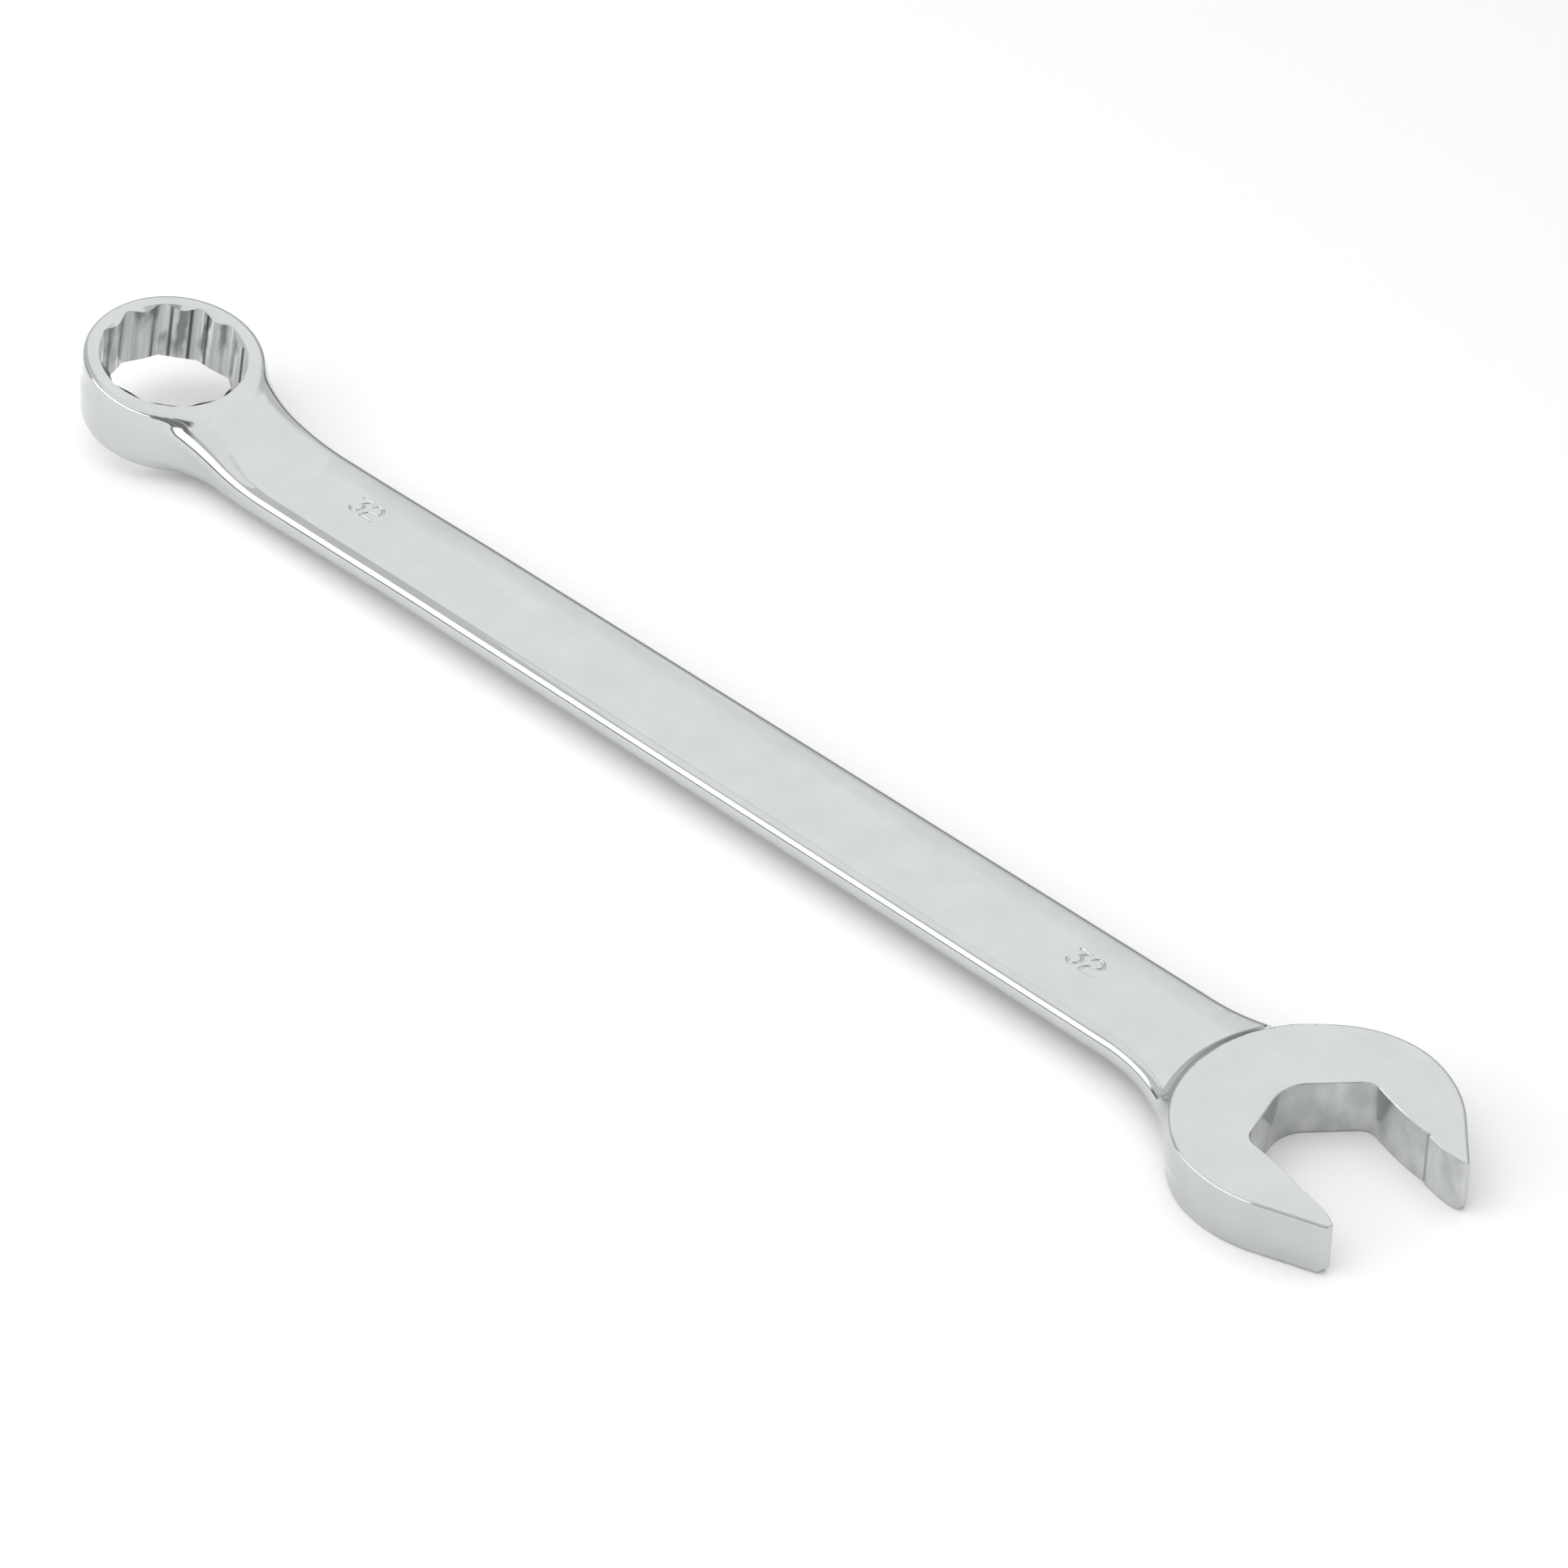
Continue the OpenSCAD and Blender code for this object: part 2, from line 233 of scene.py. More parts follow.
def head_distance(x, y, z):
    plan = head_outline(x, y)
    plate = rounded_corner(plan, np.abs(z - HEAD_T / 2) - HEAD_T / 2, HEAD_EDGE)
    front = head_frame(x, y, 0)[0] - JAW_REACH
    return np.maximum(plate, rounded_corner(front, -z, TIP_EDGE))


def forging_distance(x, y, z):
    wall, up = ring_distance(x, y, z)
    near_ring = RING_ZONE - np.hypot(x - BOX_X, y)
    body = soft_min(wall, shank_distance(x, y, z), RING_FILLET)
    body = soft_max(body, np.minimum(up, near_ring), UPPER_EDGE)
    body = soft_max(body, np.minimum(-up - RING_DEPTH, near_ring), LOWER_EDGE)
    both = soft_min(body, head_distance(x, y, z), HEAD_FILLET)
    return np.where(x < 0, body, np.maximum(both, np.maximum(z - HEAD_T, -z)))


in_wall = forging_distance(np.array(BOX_X - 20.0), np.array(0.0), np.array(18.0))
print("metal at the socket's wall:", bool(in_wall < 0))

# %% [markdown]
# ## From formula to faces
# A surface net turns the field into quads: every grid cell that the skin passes through
# gets one vertex, and every grid edge that crosses the skin gets one quad. A few Newton
# steps then pull the vertices exactly onto the skin, and the field's slope gives the
# normals, so reflections stay clean although the mesh is modest. The grid is finer at
# the two ends, where the curves are, than along the plain shank.

# %% Surface net
def surface_net(distance, xs, ys, zs):
    """Points and quads of the skin where distance is 0, on the grid of xs, ys and zs."""
    field = np.stack([distance(x, ys[:, None], zs[None, :]) for x in xs])
    inside = field < 0
    cells = sum(inside[i:i + len(xs) - 1, j:j + len(ys) - 1, k:k + len(zs) - 1].astype(np.int8)
                for i in (0, 1) for j in (0, 1) for k in (0, 1))
    mixed = (cells > 0) & (cells < 8)
    number = np.full(mixed.shape, -1)
    number[mixed] = np.arange(mixed.sum())
    total, count, quads = np.zeros((mixed.sum(), 3)), np.zeros(mixed.sum()), []
    lines = (xs, ys, zs)
    for axis in range(3):
        low = np.moveaxis(field, axis, 0)[:-1]
        high = np.moveaxis(field, axis, 0)[1:]
        at = np.argwhere((low < 0) != (high < 0))
        d0, d1 = low[tuple(at.T)], high[tuple(at.T)]
        # the other two axes in the order that keeps the frame right-handed
        u, v = (axis + 1) % 3, (axis + 2) % 3
        rest = [n for n in range(3) if n != axis]
        index = np.zeros((len(at), 3), int)
        index[:, axis], index[:, rest[0]], index[:, rest[1]] = at.T
        point = np.stack([lines[n][index[:, n]] for n in range(3)], 1).astype(float)
        step = lines[axis][index[:, axis] + 1] - lines[axis][index[:, axis]]
        point[:, axis] += step * d0 / (d0 - d1)
        corners = []
        for du, dv in ((-1, -1), (0, -1), (0, 0), (-1, 0)):
            cell = index.copy()
            cell[:, u] += du
            cell[:, v] += dv
            corners.append(number[tuple(cell.T)])
            np.add.at(total, corners[-1], point)
            np.add.at(count, corners[-1], 1)
        quad = np.stack(corners, 1)
        quads.append(np.where((d0 < 0)[:, None], quad, quad[:, ::-1]))
    return total / count[:, None], np.concatenate(quads)


def slope(distance, points, h=0.01):
    """The direction in which distance grows, measured a hundredth of a millimetre away."""
    out = np.empty_like(points)
    for n in range(3):
        ahead, behind = points.copy(), points.copy()
        ahead[:, n] += h
        behind[:, n] -= h
        out[:, n] = (distance(*ahead.T) - distance(*behind.T)) / (2 * h)
    return out


def pull_to_skin(distance, points, steps=5):
    """Moves points along the slope until distance is 0, at most half a millimetre a step."""
    for _ in range(steps):
        g = slope(distance, points)
        move = distance(*points.T) / np.maximum((g * g).sum(1), 0.2)
        points = points - g * np.clip(move, -0.5, 0.5)[:, None]
    return points


ball = pull_to_skin(lambda x, y, z: np.sqrt(x * x + y * y + z * z) - 5,
                    np.array([[4.0, 3.0, 1.0]]))
print("a point pulled onto a 5 mm ball ends at radius", round(float(np.linalg.norm(ball)), 4))

# %% The forged blank
def grid(*spans):
    """Grid lines through spans of (start, stop, step)."""
    return np.unique(np.concatenate([np.linspace(a, b, max(2, round((b - a) / s) + 1))
                                     for a, b, s in spans]).round(4))


def in_scene(name, data):
    obj = bpy.data.objects.new(name, data)
    bpy.context.scene.collection.objects.link(obj)
    return obj


def new_piece(name, points, faces, edges=()):
    """A mesh object from points in millimetres."""
    mesh = bpy.data.meshes.new(name)
    mesh.from_pydata(np.asarray(points) * MM, edges, faces)
    return in_scene(name, mesh)


FINE, COARSE, LAYER = 0.42, 2.4, 0.25  # steps at the ends, on the shank, at flat faces
skin, quads = surface_net(
    forging_distance,
    grid((-214, -118, FINE), (-118, 122, COARSE), (122, 216, FINE)),
    grid((-37.2, 34.2, FINE)),
    grid((-0.95, 1.3, LAYER), (1.3, 12.4, FINE), (12.4, 14.5, LAYER), (14.5, 28, FINE)))
skin = pull_to_skin(forging_distance, skin)
blank = new_piece("forged_blank", skin, quads.tolist())
print("forged blank:", len(skin), "vertices,", len(quads), "quads, box mm",
      skin.min(0).round(2), skin.max(0).round(2),
      "worst gap", round(float(np.abs(forging_distance(*skin.T)).max()), 4))

# %% [markdown]
# ## Small helpers for node trees
# One function adds any node, sets its values and makes its links, so that the trees
# below read from top to bottom like a recipe.

# %% Adding a node
def add(tree, kind, settings=None, inputs=None):
    """Adds a node. A socket, or a node for its first output, is linked. A value is set."""
    node = tree.nodes.new(kind)
    for name, value in (settings or {}).items():
        setattr(node, name, value)
    for name, value in (inputs or {}).items():
        if isinstance(value, bpy.types.Node):
            value = value.outputs[0]
        if isinstance(value, bpy.types.NodeSocket):
            tree.links.new(value, node.inputs[name])
        else:
            node.inputs[name].default_value = value
    return node


def linear(hex_colour):
    """An sRGB colour as Blender's linear RGBA."""
    parts = [int(hex_colour[i:i + 2], 16) / 255 for i in (1, 3, 5)]
    return [c / 12.92 if c <= 0.04045 else ((c + 0.055) / 1.055) ** 2.4 for c in parts] + [1]


print("chrome grey in linear light:", [round(c, 3) for c in linear("#C4C6C7")])

# %% [markdown]
# ## The socket broach
# The twelve-point socket is cut by a broach, a long bar whose section is two hexagons
# laid over each other. The same outline repeats every 30 degrees, so Geometry Nodes draw
# it: a star curve with its points rounded, swept along a straight line. The named inputs
# are the sizes that a tool maker would ask for. The result is a plain cutting mesh.

# %% Broach made with Geometry Nodes
def node_tree(name, sockets):
    """A Geometry Nodes tree with named inputs, given as name: (socket type, value)."""
    tree = bpy.data.node_groups.new(name, "GeometryNodeTree")
    tree.interface.new_socket("Geometry", in_out="OUTPUT", socket_type="NodeSocketGeometry")
    for label, (kind, value) in sockets.items():
        socket = tree.interface.new_socket(label, in_out="INPUT", socket_type="NodeSocket" + kind)
        if value is not None:
            socket.default_value = value
    return tree, tree.nodes.new("NodeGroupInput").outputs


def end_tree(tree, geometry, finish):
    """Every tree ends alike: copies become real mesh, and the finish is set."""
    real = add(tree, "GeometryNodeRealizeInstances", None, {0: geometry})
    worn = add(tree, "GeometryNodeSetMaterial", None, {"Geometry": real, "Material": finish})
    add(tree, "NodeGroupOutput", None, {0: worn})


def run_tree(name, tree, values, obj=None):
    """Runs a tree once and keeps the result as a plain mesh object."""
    if obj is None:
        obj = in_scene(name, bpy.data.meshes.new(name))
    modifier = obj.modifiers.new(name, "NODES")
    modifier.node_group = tree
    for socket in tree.interface.items_tree:
        if socket.in_out == "INPUT" and socket.name in values:
            modifier[socket.identifier] = values[socket.name]
    evaluated = obj.evaluated_get(bpy.context.evaluated_depsgraph_get())
    mesh = bpy.data.meshes.new_from_object(evaluated)
    obj.modifiers.remove(modifier)
    obj.data = mesh
    return obj


def outward(obj):
    """Merges doubles and turns every face outwards."""
    bm = bmesh.new()
    bm.from_mesh(obj.data)
    bmesh.ops.remove_doubles(bm, verts=bm.verts, dist=1e-7)
    bmesh.ops.recalc_face_normals(bm, faces=bm.faces)
    bm.to_mesh(obj.data)
    bm.free()
    return obj


broached = bpy.data.materials.new("broached_alloy_steel_under_chrome")
milled = bpy.data.materials.new("milled_steel_under_chrome")
polished = bpy.data.materials.new("polished_chrome_plate_on_forged_steel")
FINISHES = (polished, broached, milled)


def wear(obj, finish):
    """Every mesh gets the same three slots, so a boolean can carry the slot number along."""
    mesh = obj.data
    mesh.materials.clear()
    for material in FINISHES:
        mesh.materials.append(material)
    mesh.polygons.foreach_set("material_index", [FINISHES.index(finish)] * len(mesh.polygons))
    return obj


broach_tree, made = node_tree("SocketBroach", {
    "Points": ("Int", 12),
    "Crest Radius": ("Float", 0.0166),
    "Corner Radius": ("Float", 0.0185),
    "Point Rounding": ("Float", 0.0007),
    "Crest Rounding": ("Float", 0.0003),
    "Length": ("Float", 0.02),
    "Facet": ("Float", 0.0003),
    "Rows": ("Int", 22),
    "Finish": ("Material", None),
})
star = add(broach_tree, "GeometryNodeCurveStar", None, {
    "Points": made["Points"], "Inner Radius": made["Crest Radius"],
    "Outer Radius": made["Corner Radius"]})
rounding = add(broach_tree, "GeometryNodeSwitch", {"input_type": "FLOAT"}, {
    "Switch": star.outputs["Outer Points"], "False": made["Crest Rounding"],
    "True": made["Point Rounding"]})
fillet = add(broach_tree, "GeometryNodeFilletCurve", {"mode": "POLY"}, {
    "Curve": star.outputs["Curve"], "Count": 8, "Limit Radius": True, "Radius": rounding})
rows = add(broach_tree, "GeometryNodeResampleCurve", {"mode": "LENGTH"}, {
    "Curve": fillet, "Length": made["Facet"]})
end = add(broach_tree, "ShaderNodeCombineXYZ", None, {"Z": made["Length"]})
line = add(broach_tree, "GeometryNodeCurvePrimitiveLine", None, {"End": end})
steps = add(broach_tree, "GeometryNodeResampleCurve", {"mode": "COUNT"}, {
    "Curve": line, "Count": made["Rows"]})
bar = add(broach_tree, "GeometryNodeCurveToMesh", None, {
    "Curve": steps, "Profile Curve": rows, "Fill Caps": True})
end_tree(broach_tree, bar, made["Finish"])

PAST = 2  # how far a cutting tool reaches past the metal
broach = run_tree("socket_broach", broach_tree, {
    "Crest Radius": CREST_R * MM, "Corner Radius": CORNER_REACH * MM,
    "Point Rounding": 1.9 * MM, "Crest Rounding": 4.5 * MM,
    "Length": (RING_DEPTH + 2 * PAST) * MM, "Finish": broached})
print("broach:", len(broach.data.vertices), "vertices, across corners mm",
      round(2 * max(v.co.xy.length for v in broach.data.vertices) / MM, 2))

# %% [markdown]
# ## Setting the broach in place
# A star curve starts with its first point on an axis. The real socket is turned a few
# degrees against the shank, so the broach is turned too, then tilted with the ring. The
# turn goes into the mesh, because finished objects stay at the origin unturned.

# %% Broach and lead-in cones in the ring
SOCKET_TURN = math.radians(-3)
LEAD_DEPTH, LEAD_W = 0.8, 1.4  # the lead-in at each mouth


def at_ring(height, turn=0.0):
    """Placement of a tool at a height along the socket, measured from the upper face."""
    spot = RING_ORIGIN + RING_UP * height
    return (Matrix.Translation(Vector(spot * MM)) @ Matrix.Rotation(RING_TILT, 4, "Y")
            @ Matrix.Rotation(turn, 4, "Z"))


def cone(name, low_r, high_r, height):
    mesh = bpy.data.meshes.new(name)
    bm = bmesh.new()
    bmesh.ops.create_cone(bm, cap_ends=True, segments=192, radius1=low_r * MM,
                          radius2=high_r * MM, depth=height * MM,
                          matrix=Matrix.Translation((0, 0, height * MM / 2)))
    bm.to_mesh(mesh)
    bm.free()
    return wear(in_scene(name, mesh), polished)


first = max(broach.data.vertices, key=lambda v: v.co.xy.length).co
star_turn = math.atan2(first.y, first.x)
below = -RING_DEPTH - PAST
wear(outward(broach), broached).data.transform(at_ring(below, SOCKET_TURN - star_turn))
mouth, spread = CREST_R + LEAD_W, PAST * LEAD_W / LEAD_DEPTH
upper_cone = cone("upper_lead_in", mouth - spread, mouth + spread, 2 * PAST)
upper_cone.data.transform(at_ring(-PAST))
lower_cone = cone("lower_lead_in", mouth + spread, mouth - spread, 2 * PAST)
lower_cone.data.transform(at_ring(below))
print("socket turned by", round(math.degrees(SOCKET_TURN)), "degrees, star by",
      round(math.degrees(star_turn) % 30, 2))

# %% [markdown]
# ## The jaw opening
# The open end is milled: a throat like half a hexagon with a round bottom, two slightly
# hollow faces that leave the nut's corners free, a small raised grip pad near each tip,
# and a rolled tip. One outline holds it all. The tool that cuts it is wider at its two
# ends, which breaks the sharp edges as a deburring wheel does.

# %% Outline of the jaw opening
CORNER_R, RELIEF, THROAT_R, TIP_R = 4.0, 0.5, 9.5, 20.0
TIP_RISE, PAD_SLOPE = 4, 0.1
PAD_X, PAD_L, PAD_STEP, PAD_EDGE = 10.8, 4.4, 0.4, 0.3


def arc(centre, radius, start, stop, steps):
    angles = np.radians(np.linspace(start, stop, steps + 1))
    return np.stack([centre[0] + radius * np.cos(angles), centre[1] + radius * np.sin(angles)], 1)


def jaw_outline():
    face_y = HALF_NUT + RELIEF
    corner_x = -(face_y - 2 * RELIEF - CORNER_R) * math.tan(math.radians(30))
    face_x = (PAD_X + corner_x) / 2
    face_r = (PAD_X - face_x) ** 2 / (2 * RELIEF)
    half = math.degrees(math.asin((PAD_X - face_x) / face_r))
    pad_y = face_y - PAD_STEP
    roll = math.degrees(math.acos(1 - TIP_RISE / TIP_R))
    upper = np.concatenate([
        arc((-CORNER_REACH + THROAT_R / math.cos(math.radians(30)), 0), THROAT_R, 180, 150, 10),
        arc((corner_x, face_y - CORNER_R), CORNER_R, 150, 95, 12),
        arc((face_x, HALF_NUT + face_r), face_r, -90 - half, -90 + half, 12),
        arc((PAD_X + PAD_SLOPE + PAD_EDGE, pad_y + PAD_EDGE), PAD_EDGE, 180, 270, 5),
        [(PAD_X + PAD_L, pad_y)],
        arc((PAD_X + PAD_L, pad_y + TIP_R), TIP_R, -86, -90 + roll, 14),
        [(2 * JAW_REACH, SIDE_R)]])
    return np.concatenate([upper, (upper * (1, -1))[::-1][:-1]])


def grown(outline, by):
    """A closed outline moved outwards along its normals."""
    edges = np.roll(outline, -1, 0) - outline
    n = np.stack([-edges[:, 1], edges[:, 0]], 1) / np.linalg.norm(edges, axis=1)[:, None]
    n = n + np.roll(n, 1, 0)
    n /= np.maximum((n * n).sum(1), 0.8)[:, None] / 2
    return outline + by * n


opening = jaw_outline()
print("jaw opening:", len(opening), "points, narrowest mm",
      round(2 * float(np.abs(opening[(opening[:, 0] > 0)][:, 1]).min()), 2))

# %% Jaw cutter
def prism(name, levels, outlines):
    """A closed skin over outlines with the same number of points, lowest first."""
    n, top = len(outlines[0]), len(levels) - 1
    points = np.concatenate([np.c_[o, np.full(n, z)] for o, z in zip(outlines, levels)])
    faces = [(k * n + i, k * n + (i + 1) % n, (k + 1) * n + (i + 1) % n, (k + 1) * n + i)
             for k in range(top) for i in range(n)]
    faces += [list(range(n))[::-1], list(range(top * n, (top + 1) * n))]
    return wear(outward(new_piece(name, points, faces)), polished)


def at_head():
    return (Matrix.Translation((OPEN_X * MM, -JAW_OFFSET * MM, 0))
            @ Matrix.Rotation(-JAW_ANGLE, 4, "Z"))


EDGE_BREAK, BEYOND = 0.22, 1  # the broken edge, and how far the cutter reaches past it
wide = grown(opening, EDGE_BREAK + BEYOND)
jaw_cutter = prism("jaw_cutter", [-BEYOND, EDGE_BREAK, HEAD_T - EDGE_BREAK, HEAD_T + BEYOND],
                   [wide, opening, opening, wide])
wear(jaw_cutter, milled).data.transform(at_head())
print("jaw cutter:", len(jaw_cutter.data.vertices), "vertices")

# %% [markdown]
# ## The size numbers
# The nut size is stamped by both ends, and the rest of the shank stays bare. A stamp
# leaves a round-bottomed groove of even width, 0.9 mm wide and 0.3 mm deep. Curve to Mesh
# would fold over itself at the corners of a 3, so the tree below sows points along each
# stroke, turns them into a volume and skins the volume. The skin is one clean closed tool
# whatever the stroke does.

# %% Number stamp made with Geometry Nodes
STROKES = [  # in millimetres from the lower left, as a toolmaker cuts them
    [(0.05, 5.15), (2.95, 5.2)],
    [(2.95, 5.2), (1.55, 3.4)],
    [(1.55, 3.4), (2.2, 3.1), (2.75, 2.5), (3.0, 1.75), (2.85, 1.0), (2.3, 0.35), (1.5, 0.05),
     (0.75, 0.2), (0.2, 0.75)],
    [(4.6, 4.1), (4.85, 4.75), (5.5, 5.15), (6.3, 5.15), (7.1, 4.75), (7.7, 4.1), (7.95, 3.5),
     (7.6, 2.85), (6.9, 2.45), (5.9, 2.15), (5.1, 1.75), (4.65, 1.1), (4.5, 0.4), (4.5, 0.0)],
    [(4.5, 0.0), (8.3, 0.0)],
]
STROKE_R, STAMP_LIFT, SLANT = 0.44, 0.1, 0.06
STAMP_FOOT, FACE_Z = -1.1, 11.3  # the numbers' base line and the face's height


def stroke_paths(name, left):
    """The strokes as edges that lie on the shank's upper face."""
    points, edges = [], []
    for stroke in STROKES:
        start = len(points)
        for x, y in stroke:
            px, py = left + x + SLANT * y, STAMP_FOOT + y
            spot = pull_to_skin(forging_distance, np.array([[px, py, FACE_Z]]))[0]
            points.append((px, py, spot[2] + STAMP_LIFT))
        edges += [(i, i + 1) for i in range(start, len(points) - 1)]
    return new_piece(name, points, [], edges)


stamp_tree, made = node_tree("NumberStamp", {
    "Strokes": ("Geometry", None),
    "Stroke Radius": ("Float", 0.0004),
    "Spacing": ("Float", 0.00012),
    "Voxel": ("Float", 0.00008),
    "Finish": ("Material", None),
})
path = add(stamp_tree, "GeometryNodeMeshToCurve", None, {"Mesh": made["Strokes"]})
smooth = add(stamp_tree, "GeometryNodeCurveSplineType", {"spline_type": "CATMULL_ROM"}, {
    "Curve": path})
sown = add(stamp_tree, "GeometryNodeCurveToPoints", {"mode": "LENGTH"}, {
    "Curve": smooth, "Length": made["Spacing"]})
cloud = add(stamp_tree, "GeometryNodePointsToVolume", {"resolution_mode": "VOXEL_SIZE"}, {
    "Points": sown.outputs["Points"], "Voxel Size": made["Voxel"],
    "Radius": made["Stroke Radius"]})
groove = add(stamp_tree, "GeometryNodeVolumeToMesh", None, {"Volume": cloud})
end_tree(stamp_tree, groove, made["Finish"])

stamps = []
for label, left in (("box_end_32", BOX_X + 63.0), ("open_end_32", BOX_X + 295.0)):
    stamp = run_tree(label, stamp_tree, {"Stroke Radius": STROKE_R * MM, "Finish": polished},
                     stroke_paths(label, left))
    stamps.append(wear(outward(stamp), polished))
    print(label, len(stamp.data.vertices), "vertices, size mm",
          [round(d / MM, 2) for d in stamp.dimensions])

# %% [markdown]
# ## Cutting
# Booleans take each tool away from the blank. Blender's manifold solver is made for
# closed meshes like these and keeps the untouched faces as they are. Where it can't
# finish, the exact solver takes over.

# %% Boolean helper
def boolean(obj, tool, operation="DIFFERENCE"):
    """Cuts with a tool and throws the tool away."""
    for solver in ("MANIFOLD", "EXACT"):
        modifier = obj.modifiers.new("cut", "BOOLEAN")
        modifier.operation, modifier.object, modifier.solver = operation, tool, solver
        evaluated = obj.evaluated_get(bpy.context.evaluated_depsgraph_get())
        mesh = bpy.data.meshes.new_from_object(evaluated)
        obj.modifiers.remove(modifier)
        if len(mesh.polygons):
            break
    obj.data = mesh
    bpy.data.objects.remove(tool)
    return obj


def volume(obj):
    bm = bmesh.new()
    bm.from_mesh(obj.data)
    loose = sum(1 for e in bm.edges if not e.is_manifold)
    size = bm.calc_volume(signed=True) / MM ** 3
    bm.free()
    return round(size, 1), loose


wear(blank, polished)
print("blank volume mm3 and open edges:", volume(blank))
for tool in (broach, upper_cone, lower_cone, jaw_cutter, *stamps):
    name = tool.name
    boolean(blank, tool)
    print(name, "->", volume(blank))

# %% [markdown]
# ## Seven pieces from one forging
# The CAD model names seven regions of the forging, and each needs its own closed mesh.
# We cut the finished blank with plain region solids. Two flat planes bound the shank, and
# two tall columns, round on the side that faces the shank, bound the ring and the head.
# Everywhere else a column is much wider than the metal, so that its side never runs along
# the skin. Where two regions meet, both get the same edge, so no seam shows.

# %% Region solids
LOW_Z, HIGH_Z, FAR = -5, 40, 300  # past the forging below, above and along it
BESIDE, AHEAD = 60, 90  # past its sides, and past the jaws
RING_CUT_R, HEAD_CUT_R = RING_R - 0.15, BACK_R - 0.25  # just inside the round walls


def block(name, x0, x1, y0=-BESIDE, y1=BESIDE, place=Matrix.Identity(4)):
    corners = np.array([(x0, y0), (x1, y0), (x1, y1), (x0, y1)], float)
    obj = prism(name, [LOW_Z, HIGH_Z], [corners, corners])
    obj.data.transform(place)
    return obj


def round_column(name, radius, half_open, place, low_z, high_z):
    """A column that is round within half_open degrees of the neck and much wider elsewhere."""
    angles = np.radians(np.arange(-180, 180, 1.5))
    wide = np.where(np.abs(angles) < math.radians(half_open), radius, 1.5 * radius)
    rim = np.stack([wide * np.cos(angles), wide * np.sin(angles)], 1)
    obj = prism(name, [low_z, high_z], [rim, rim])
    obj.data.transform(place)
    return obj


def ring_column(name):
    return round_column(name, RING_CUT_R, 58, at_ring(0), -40, 14)


def head_column(name):
    towards_shank = Matrix.Rotation(math.radians(180 - 7), 4, "Z")
    place = Matrix.Translation((OPEN_X * MM, -JAW_OFFSET * MM, 0)) @ towards_shank
    return round_column(name, HEAD_CUT_R, 46, place, LOW_Z, HIGH_Z)


def region(name, keep, remove=()):
    """One region: a copy of the forging inside one solid and outside others."""
    obj = boolean(in_scene(name, blank.data.copy()), keep, "INTERSECT")
    for tool in remove:
        boolean(obj, tool)
    print(name, volume(obj), len(obj.data.polygons), "faces")
    return obj


print("columns cut at radius, mm:", round(RING_CUT_R, 2), round(HEAD_CUT_R, 2))

# %% Cutting out the seven pieces
JAW_ROOT = -CORNER_REACH / 2


def jaw_block(name, y0, y1):
    return block(name, JAW_ROOT, AHEAD, y0, y1, at_head())


pieces = {
    "box_end_ring": region("ring_piece", ring_column("in_ring")),
    "box_end_neck": region("box_neck_piece", block("in_neck", -FAR, BOX_NECK_END),
                           [ring_column("out_ring")]),
    "shank": region("shank_piece", block("in_shank", BOX_NECK_END, OPEN_NECK_END)),
    "open_end_neck": region("open_neck_piece", block("in_open", OPEN_NECK_END, FAR),
                            [head_column("out_head")]),
    "open_end_throat": region("throat_piece", head_column("in_head"),
                              [jaw_block("past_root", -AHEAD, AHEAD)]),
    "left_jaw": region("left_jaw_piece", jaw_block("in_left", 0, AHEAD)),
    "right_jaw": region("right_jaw_piece", jaw_block("in_right", -AHEAD, 0)),
}
bpy.data.objects.remove(blank)

# %% [markdown]
# ## Normals that follow the skin
# A mesh of flat faces needs normals that say how the real surface turns. On the forged
# skin the distance field knows them exactly. On cut faces we keep the mesh's own normals,
# smoothed only where two faces meet at less than 20 degrees, so a milled corner stays
# crisp. Then each piece takes the place of its CAD node, which stays for the physics.

# %% Custom normals and hidden faces
def read(items, field, width=3, kind=float):
    """One value or vector of every item, as an array with a row for each."""
    values = np.empty(len(items) * width, kind)
    items.foreach_get(field, values)
    return values.reshape(-1, width) if width > 1 else values


def dress_normals(obj):
    mesh = obj.data
    mesh.shade_smooth()
    mesh.set_sharp_from_angle(angle=math.radians(20))
    # a face is forged where it lies within 0.05 mm of the field's skin and faces its way
    centre = read(mesh.polygons, "center") / MM
    away = np.abs(forging_distance(*centre.T))
    lean = (slope(forging_distance, centre) * read(mesh.polygons, "normal")).sum(1)
    forged = (away < 0.05) & (lean > 0.9)
    skin_normal = slope(forging_distance, read(mesh.vertices, "co") / MM)
    skin_normal /= np.maximum(np.linalg.norm(skin_normal, axis=1), 1e-9)[:, None]
    corner = read(mesh.corner_normals, "vector", kind=np.float32)
    vertex = read(mesh.loops, "vertex_index", 1, int)
    on_skin = np.repeat(forged, read(mesh.polygons, "loop_total", 1, int))
    corner[on_skin] = skin_normal[vertex[on_skin]]
    mesh.normals_split_custom_set(corner.tolist())
    return round(float(forged.mean()), 2)


for node, piece in pieces.items():
    share = dress_normals(piece)
    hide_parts(node)
    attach(piece, "root")
    print(piece.name, "forged share of faces:", share)

# %% [markdown]
# ## Polished chrome plate on forged steel
# The forging is belt ground, polished on a wheel, and plated with bright nickel and less
# than a thousandth of a millimetre of chrome. Chrome returns a little over half of the
# light and is slightly blue, so the eye sees a grey mirror: it is what it reflects. A
# plain mirror would look drawn, so the real plate's flaws are added, each at its own size.
# A colour map painted on the mesh could hold them, but noise on Object coordinates needs
# no unwrapping and stays on the metal when the tool moves.

# %% What the three finishes share
SMOOTH = {"interpolation_type": "SMOOTHSTEP"}


